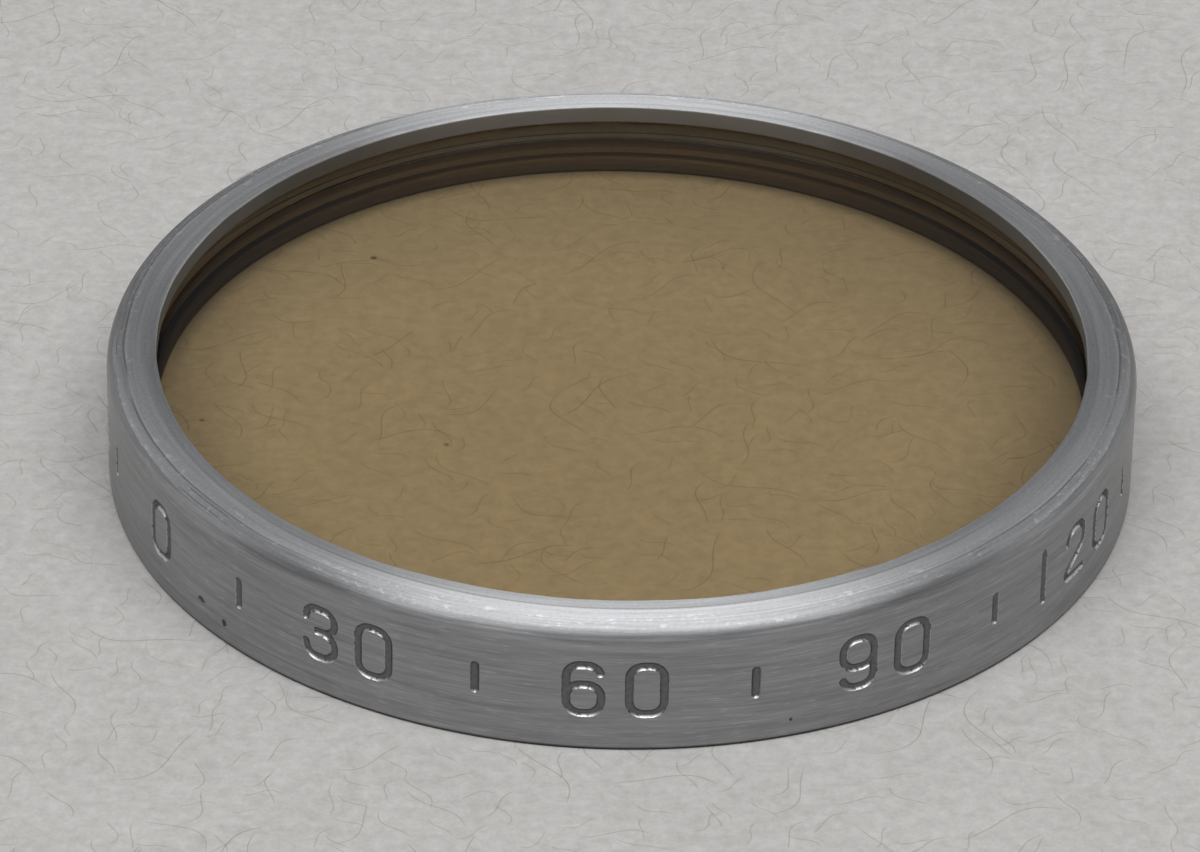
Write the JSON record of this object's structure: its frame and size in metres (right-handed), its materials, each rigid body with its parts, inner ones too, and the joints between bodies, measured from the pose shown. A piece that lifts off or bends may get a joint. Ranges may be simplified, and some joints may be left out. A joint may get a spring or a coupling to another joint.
{
  "type": "camera lens filter",
  "caption": "Round drop-in camera lens filter: turned aluminium rim with a lip rolled over an amber glass, a dyed film cemented between clear discs.",
  "frame": {"origin": "on the filter's axis, in the plane of the seat face that it lies on", "axes": "+Z along the filter's axis, from the seat face to the rolled lip"},
  "size_m": [0.0302, 0.0302, 0.004],
  "materials": {
    "rim": "turned and brushed, worn bright on the shoulder",
    "glass": "clear, polished",
    "film": "dyed gelatin, clear amber"
  },
  "bodies": {
    "root": {"rim": "rim", "front_glass": "glass", "gelatin_film": "film", "rear_glass": "glass"}
  },
  "joints": []
}
